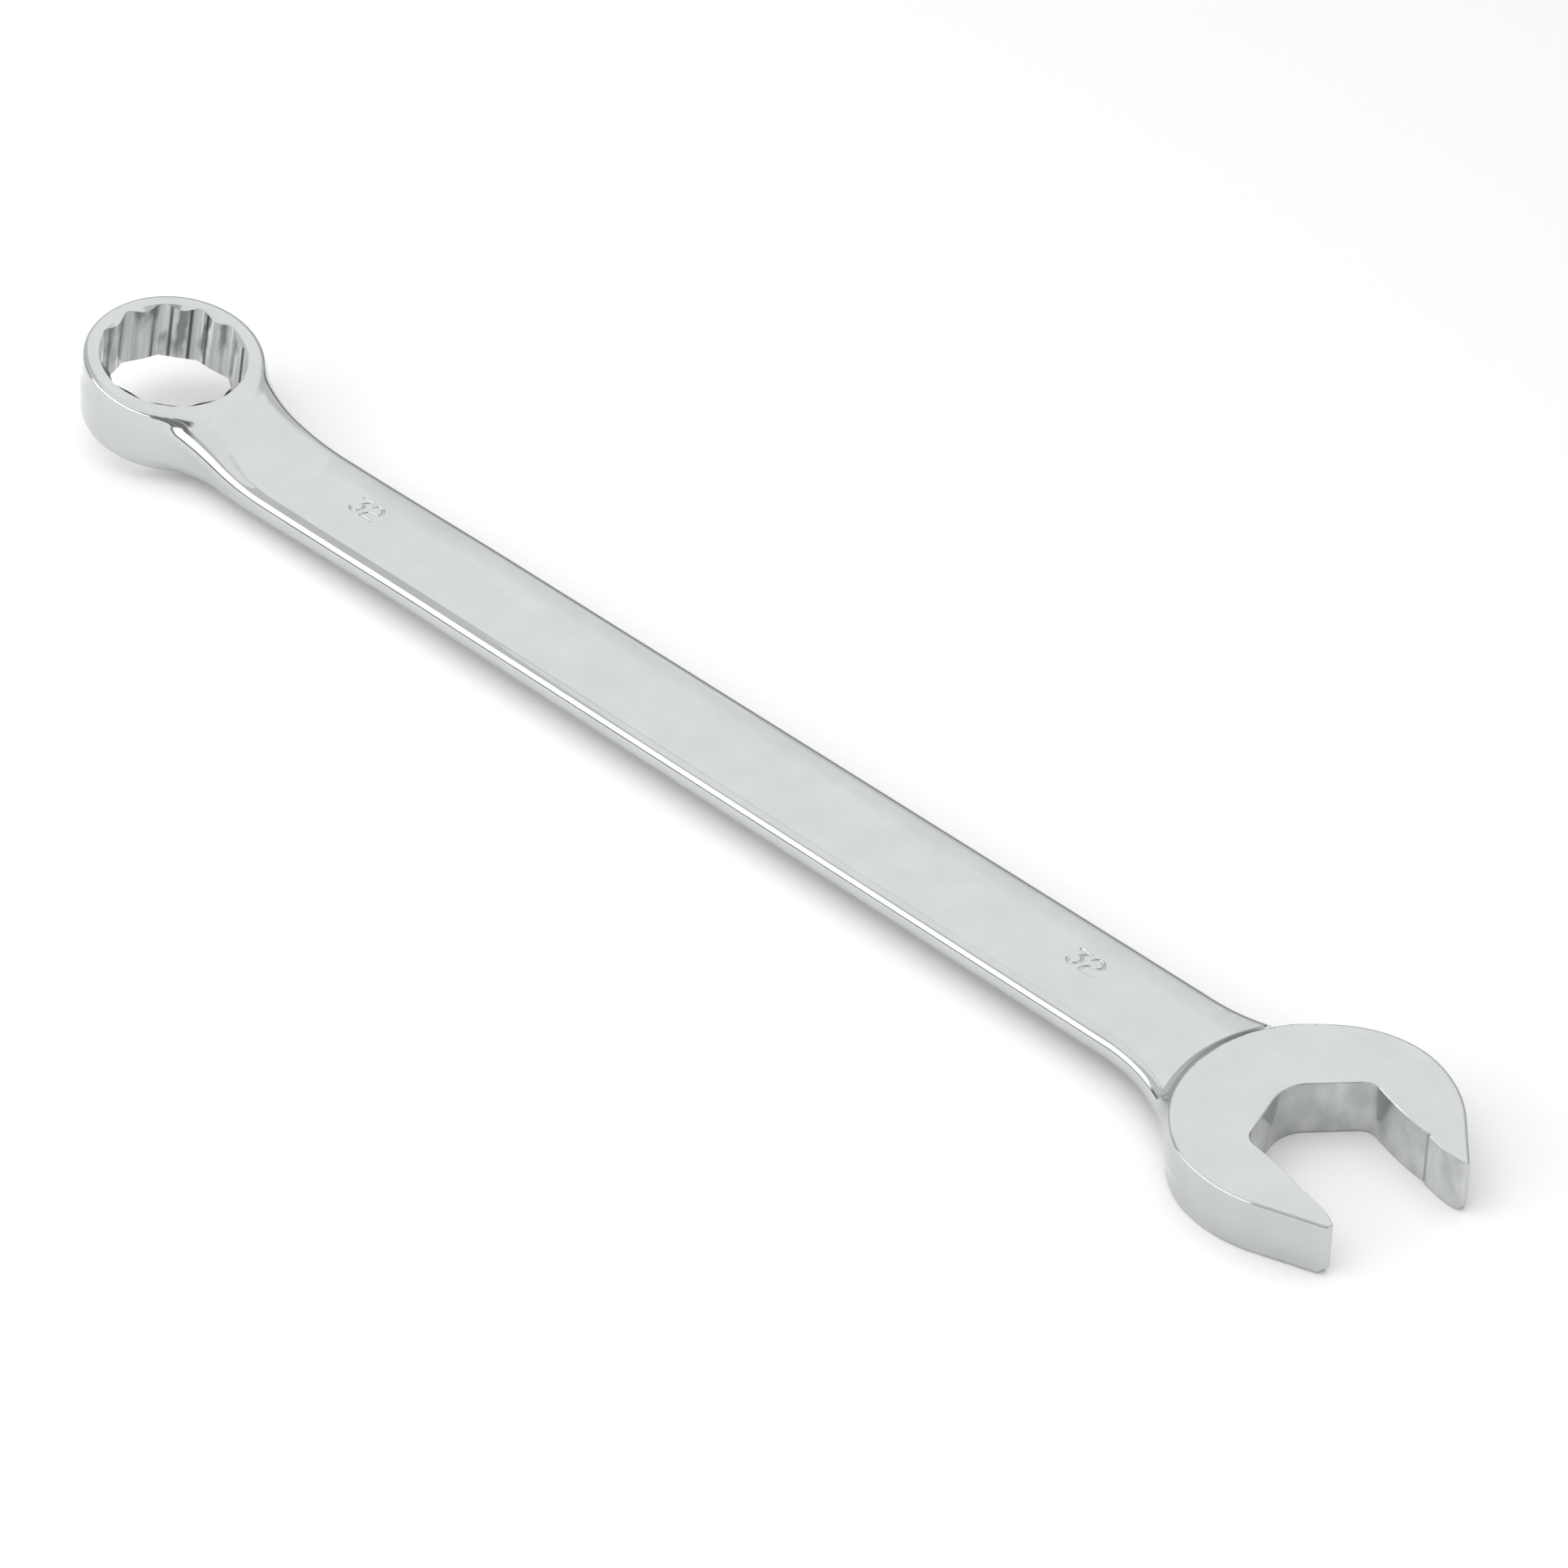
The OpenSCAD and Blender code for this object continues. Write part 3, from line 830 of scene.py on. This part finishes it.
def metal(material, colour, rough):
    """A bare metal: its colour is the share of light that it returns. The patterns take
    over from these two plain values, which stay for viewers that can't run a pattern."""
    material.use_nodes = True
    tree = material.node_tree
    shader = tree.nodes["Principled BSDF"]
    shader.inputs["Base Color"].default_value = linear(colour)
    shader.inputs["Metallic"].default_value = 1.0
    shader.inputs["Roughness"].default_value = rough
    return tree, shader, add(tree, "ShaderNodeTexCoord").outputs["Object"]


def mottling(tree, coordinates, size_mm, stretch=(1, 1, 1), detail=2.0):
    """Blots about size_mm across, drawn out along an axis whose stretch is below 1."""
    placed = add(tree, "ShaderNodeMapping", None, {"Vector": coordinates, "Scale": stretch})
    return add(tree, "ShaderNodeTexNoise", None, {
        "Vector": placed, "Scale": 1 / (size_mm * MM), "Detail": detail}).outputs["Fac"]


def plate_over(tree, shader, tone, dark, light, gloss, relief):
    """Joins the patterns to the shader. The colour goes from dark to light with tone, gloss
    is (pattern, roughness where it is low, and high), relief is (pattern, depth in mm)."""
    colour = add(tree, "ShaderNodeMix", {"data_type": "RGBA"}, {
        0: tone, 6: linear(dark), 7: linear(light)})
    tree.links.new(colour.outputs[2], shader.inputs["Base Color"])
    pattern, at_low, at_high = gloss
    rough = add(tree, "ShaderNodeMapRange", SMOOTH, {
        "Value": pattern, "From Min": 0.35, "From Max": 0.65, "To Min": at_low, "To Max": at_high})
    tree.links.new(rough.outputs[0], shader.inputs["Roughness"])
    normal = shader.inputs["Normal"]
    for pattern, depth in reversed(relief):
        bump = add(tree, "ShaderNodeBump", None, {"Height": pattern, "Distance": depth * MM})
        tree.links.new(bump.outputs[0], normal)
        normal = bump.inputs["Normal"]


print("finishes:", [material.name for material in FINISHES])

# %% Polished chrome plate on forged steel
# Smooth chrome on a wheel-polished face gives sharp but slightly swimming reflections.
chrome, chrome_shader, spots = metal(polished, "#C4C6C7", 0.07)
# clouds as wide as a fingertip, where wax and fingers dull the plate
haze = mottling(chrome, spots, 9, detail=3.0)
# wiping marks along the tool, 1.6 mm wide. Real ones are a tenth of that, too fine to show
rubbed = mottling(chrome, spots, 1.6, stretch=(0.25, 1, 1))
# the polishing wheel's own waves, 14 mm wide and longer along the tool, 0.03 mm deep
swell = mottling(chrome, spots, 14, stretch=(0.4, 1, 1), detail=1.0)
# the fine orange peel of the plate, 0.9 mm wide and a thousandth of a millimetre deep
grain = mottling(chrome, spots, 0.9)
plate_over(chrome, chrome_shader, haze, "#BDC0C1", "#CACCCD", (rubbed, 0.05, 0.12),
           ((swell, 0.03), (grain, 0.0012)))
print("polished chrome:", len(chrome.nodes), "nodes")

# %% [markdown]
# ## The broached socket
# Nobody polishes inside the socket. The plate lies straight on the broached steel, so the
# walls show long scratches along the cut and grey stains of plating salts that were not
# rinsed out. Dark lines beside each point, where the wall turns, are painted reflections.
# The lines follow the socket, so the coordinates are first brought into the ring's own
# tilted frame. There the angle about the axis, times twelve, tells how far a spot is from
# the nearest point. Dark paint along chosen edges would do it too, but this needs no
# selection.

# %% Broached alloy steel under chrome
# Chrome over a scratched wall is duller and streaked along the socket.
steel, steel_shader, spots = metal(broached, "#C6C8CA", 0.16)
in_socket = add(steel, "ShaderNodeMapping", {"vector_type": "TEXTURE"}, {
    "Vector": spots, "Location": RING_ORIGIN * MM, "Rotation": (0, RING_TILT, 0)})
# broaching scratches: 1.3 mm wide bands, with finer ones inside, as long as the socket
tooth = mottling(steel, in_socket, 1.3, stretch=(1, 1, 0.04), detail=3.0)
# salt stains 6 mm wide, and 9 mm stretches of wall where the painted reflection lines
# are faint: worn is that fade of the painted reflections
stain = mottling(steel, in_socket, 6, stretch=(1, 1, 0.35), detail=3.0)
worn = mottling(steel, in_socket, 9, stretch=(1, 1, 0.1), detail=1.0)
# how far a spot is from a painted dark reflection line, as a share of the 30 degrees
# from point to point
REFLECTION_LINE_AT = 0.235
split = add(steel, "ShaderNodeSeparateXYZ", None, {0: in_socket})
turned = add(steel, "ShaderNodeMath", {"operation": "ARCTAN2"}, {
    0: split.outputs["Y"], 1: split.outputs["X"]})
sector = add(steel, "ShaderNodeMath", {"operation": "MULTIPLY_ADD"}, {
    0: turned, 1: 6 / math.pi, 2: -SOCKET_TURN * 6 / math.pi})
from_point = add(steel, "ShaderNodeMath", {"operation": "PINGPONG"}, {0: sector, 1: 0.5})
past_reflection_line = add(steel, "ShaderNodeMath", {"operation": "SUBTRACT"}, {0: from_point, 1: REFLECTION_LINE_AT})
from_reflection_line = add(steel, "ShaderNodeMath", {"operation": "ABSOLUTE"}, {0: past_reflection_line})
# painted reflection: a dark line within 0.015 of that place, gone by 0.07
reflection_line_tone = add(steel, "ShaderNodeMapRange", SMOOTH, {
    "Value": from_reflection_line, "From Min": 0.015, "From Max": 0.07})
faint = add(steel, "ShaderNodeMapRange", SMOOTH, {
    "Value": worn, "From Min": 0.4, "From Max": 0.62, "To Max": 0.8})
tone = add(steel, "ShaderNodeMath", {"operation": "MAXIMUM"}, {0: reflection_line_tone, 1: faint})
for pattern, low, high, darkest in ((tooth, 0.35, 0.6, 0.78), (stain, 0.36, 0.5, 0.3)):
    share = add(steel, "ShaderNodeMapRange", SMOOTH, {
        "Value": pattern, "From Min": low, "From Max": high, "To Min": darkest})
    tone = add(steel, "ShaderNodeMath", {"operation": "MULTIPLY"}, {0: tone, 1: share})
# the dark end paints the stains, the scratches and the dark reflection lines
plate_over(steel, steel_shader, tone, "#5E6163", "#DADCDD", (tooth, 0.22, 0.12),
           ((tooth, 0.02),))
print("broached steel:", len(steel.nodes), "nodes")

# %% [markdown]
# ## The milled jaws
# The throat and the jaws' inner faces are milled and then plated, without polishing. Next
# to the outer faces they look a little softer, with smudges of coolant, and a fine dark line
# of painted shade lies in the corner below each grip pad's step. That line is one distance
# along the jaw, so the coordinates are turned with the jaws.

# %% Milled steel under chrome
# A milled face under chrome blurs what it reflects and carries faint tool marks.
jaw, jaw_shader, spots = metal(milled, "#CBCDCE", 0.14)
# smudges 7 mm wide, and mill marks 0.5 mm apart that stand upright, 0.003 mm deep
smudge = mottling(jaw, spots, 7, stretch=(1, 1, 0.6), detail=3.0)
mill_marks = mottling(jaw, spots, 0.5, stretch=(1, 1, 0.1))
clean = add(jaw, "ShaderNodeMapRange", SMOOTH, {
    "Value": smudge, "From Min": 0.35, "From Max": 0.65, "To Min": 0.35})
# the painted shade line, 0.9 mm wide with soft sides, below the step of the pad
STEP_SHADE_X, STEP_SHADE_HALF, STEP_SHADE_SOFT = PAD_X - 0.35, 0.3, 0.6
in_jaw = add(jaw, "ShaderNodeMapping", {"vector_type": "TEXTURE"}, {
    "Vector": spots, "Location": (OPEN_X * MM, -JAW_OFFSET * MM, 0),
    "Rotation": (0, 0, -JAW_ANGLE)})
along_jaw = add(jaw, "ShaderNodeSeparateXYZ", None, {0: in_jaw}).outputs["X"]
past_step = add(jaw, "ShaderNodeMath", {"operation": "SUBTRACT"}, {0: along_jaw, 1: STEP_SHADE_X * MM})
from_step = add(jaw, "ShaderNodeMath", {"operation": "ABSOLUTE"}, {0: past_step})
# painted shade: dark within 0.3 mm of the pad's step, fading out by 0.6 mm
step_shade = add(jaw, "ShaderNodeMapRange", SMOOTH, {
    "Value": from_step, "From Min": STEP_SHADE_HALF * MM, "From Max": STEP_SHADE_SOFT * MM,
    "To Min": -1.2})
# the smudges and the painted shade line together set the tone
smudge_and_step_shade = add(jaw, "ShaderNodeMath", {"operation": "MINIMUM"}, {0: clean, 1: step_shade})
plate_over(jaw, jaw_shader, smudge_and_step_shade, "#A3A6A8", "#D0D2D3", (smudge, 0.22, 0.10),
           ((smudge, 0.03), (mill_marks, 0.003)))
print("milled steel:", len(jaw.nodes), "nodes")

# %% [markdown]
# ## Floor
# A matt, almost white sheet of backdrop paper lies a fifth of a millimetre below the tool,
# so that the two never share a plane. It is wide enough to run out of sight and it fills
# the lower half of every reflection.

# %% Floor
FLOOR_GAP, FLOOR_HALF = 0.2, 6000  # in millimetres, as for every piece
floor = new_piece("studio_floor", [
    (x * FLOOR_HALF, y * FLOOR_HALF, -FLOOR_GAP) for x, y in ((-1, -1), (1, -1), (1, 1), (-1, 1))],
    [(0, 1, 2, 3)])
paper = bpy.data.materials.new("matt_white_backdrop_paper")
paper.use_nodes = True
matt = paper.node_tree.nodes["Principled BSDF"].inputs
matt["Base Color"].default_value, matt["Roughness"].default_value = linear("#F4F4F3"), 0.9
floor.data.materials.append(paper)
print("floor side, m:", round(floor.dimensions.x, 2))

# %% [markdown]
# ## Lights
# Polished chrome can't be lit, only given something to reflect. Small-tool makers shoot it
# in a tent of white cloth: large dim panels above give the flats an even grey, a gap
# between panels gives a darker band, and one bright strip low in front gives the white
# line along each rounded edge. So each panel is set by how bright it looks, and its watts
# follow from its size. An area light adds to the room behind it. Panels that only have to
# light the paper are kept out of the reflections.

# %% Lights
def hang(name, corner, first, second, level, seen=True, lights_paper=True):
    """A soft panel from one corner and two edges, as bright as level above the room."""
    corner, first, second = Vector(corner), Vector(first), Vector(second)
    light = bpy.data.lights.new(name, "AREA")
    light.shape, light.size, light.size_y = "RECTANGLE", first.length, second.length
    light.energy = level * math.pi * first.length * second.length
    x, y = first.normalized(), second.normalized()
    middle = corner + (first + second) / 2
    z = x.cross(y)
    if z.dot(middle) < 0:  # a panel shines towards the tool
        y, z = -y, -z
    obj = in_scene(name, light)
    obj.matrix_world = Matrix.Translation(middle) @ Matrix((x, y, z)).transposed().to_4x4()
    obj.visible_camera = False
    obj.visible_glossy = seen
    obj.visible_diffuse = lights_paper


CEILING, LAYERS = 0.6, 4  # in metres. Stacked panels give a soft edge
for n in range(LAYERS):
    height = CEILING + 0.002 * n  # apart, so that no two share a plane
    hang(f"back_diffuser_{n}", (-1.0 - 0.04 * n, 0.19, height), (2.0, 0, 0),
         (0, 0.43 + 0.055 * n, 0), 0.40 / LAYERS, lights_paper=False)
    hang(f"joint_cover_{n}", (-0.46 + 0.08 * n, 0.12, height), (0.54 - 0.08 * n, 0, 0),
         (0, 0.07, 0), 0.36 / LAYERS, lights_paper=False)
hang("overhead_diffuser", (-0.49, -0.41, CEILING), (0.57, 0, 0), (0, 0.53, 0), 0.36)
hang("front_strip", (-0.70, -0.38, 0.07), (0.89, -0.34, 0), (0, 0, 0.39), 1.5)
along, rise = Vector((0.342, 0.940, 0.0)), Vector((-0.629, 0.229, 0.743))
hang("side_strip", Vector((0.458, -0.243, 0.622)) - along * 0.19 - rise * 0.10,
     along * 0.38, rise * 0.20, 0.75)
hang("floor_wash", (-1.5, -1.5, 2.4), (3, 0, 0), (0, 3, 0), 0.6, seen=False)
hang("near_wash", (-1.5, -1.7, 0.45), (3, 0, 0), (0, 1.5, 0), 0.42, seen=False)

# %% [markdown]
# ## The room
# The room is a smooth grey dome that falls to dark near the floor. The dark rim draws the
# thin outline along every far edge, as black card around a tent does. Two dark patches
# stand for the openings in the tent, and a low glow for a bright wall to the left. An
# image of a room would need a file, and a formula of the direction is enough.

# %% World
world = bpy.data.worlds.new("studio_room")
bpy.context.scene.world = world
world.use_nodes = True
room = world.node_tree
direction = add(room, "ShaderNodeTexCoord").outputs["Generated"]


def heading(azimuth, elevation):
    azimuth, elevation = math.radians(azimuth), math.radians(elevation)
    flat = math.cos(elevation)
    return flat * math.cos(azimuth), flat * math.sin(azimuth), math.sin(elevation)


def patch(aim, inner, outer, middle, around):
    """A soft round patch: middle within inner degrees of aim, and around past outer."""
    towards = add(room, "ShaderNodeVectorMath", {"operation": "DOT_PRODUCT"}, {
        0: direction, 1: aim})
    return add(room, "ShaderNodeMapRange", SMOOTH, {
        "Value": towards.outputs["Value"], "From Min": math.cos(math.radians(outer)),
        "From Max": math.cos(math.radians(inner)), "To Min": around, "To Max": middle})


height = add(room, "ShaderNodeSeparateXYZ", None, {0: direction}).outputs["Z"]
glow = add(room, "ShaderNodeMapRange", SMOOTH, {
    "Value": height, "From Min": 0.08, "From Max": 0.36, "To Min": 0.15, "To Max": 0.84})
for mix, spot in (("MULTIPLY", patch(heading(-14, 58), 11, 15, 0.25, 1.0)),
                  ("MULTIPLY", patch(heading(-54, 33), 14, 22, 0.35, 1.0)),
                  ("MAXIMUM", patch((-0.975, 0.2, 0.1), 16, 36, 0.75, 0.0))):
    glow = add(room, "ShaderNodeMath", {"operation": mix}, {0: glow, 1: spot})
room.nodes["Background"].inputs["Color"].default_value = (1, 1, 1, 1)
room.links.new(glow.outputs[0], room.nodes["Background"].inputs["Strength"])
print("room:", len(room.nodes), "nodes")

# %% [markdown]
# ## Camera
# The tool runs across the frame, from the ring at the upper left to the jaws at the lower
# right, seen from above and in front. A long lens from more than a metre away keeps both
# ends almost the same size. The position was solved from the known lengths of the tool, so
# it is given as a turn and a shift rather than aimed by eye. Depth of field stays off and
# the whole tool is sharp.

# %% Camera
FOCAL, FRAME, SENSOR = 8133.68, 1932, 36  # the first two in pixels, the sensor in mm
TURN = np.array([2.1023, 0.8767, -0.4057])  # the axis of the turn, as long as its angle
SHIFT = np.array([-147.072, -96.402, 1595.33])
SHIFT_START = np.array([BOX_X, 0, 13.75])
angle = np.linalg.norm(TURN)
look = np.array(Matrix.Rotation(angle, 3, Vector(TURN / angle)))
axes = np.stack([look[0], -look[1], -look[2]], 1)
spot = -look.T @ SHIFT + SHIFT_START
camera_data = bpy.data.cameras.new("camera")
camera_data.sensor_width, camera_data.lens = SENSOR, SENSOR * FOCAL / FRAME
camera_data.clip_end = 50
camera = in_scene("camera", camera_data)
camera.matrix_world = Matrix.Translation(Vector(spot * MM)) @ Matrix(axes.tolist()).to_4x4()
bpy.context.scene.camera = camera
bpy.context.scene.view_settings.view_transform = "Standard"
print("camera at mm", spot.round(1), "lens mm", round(camera_data.lens, 2))
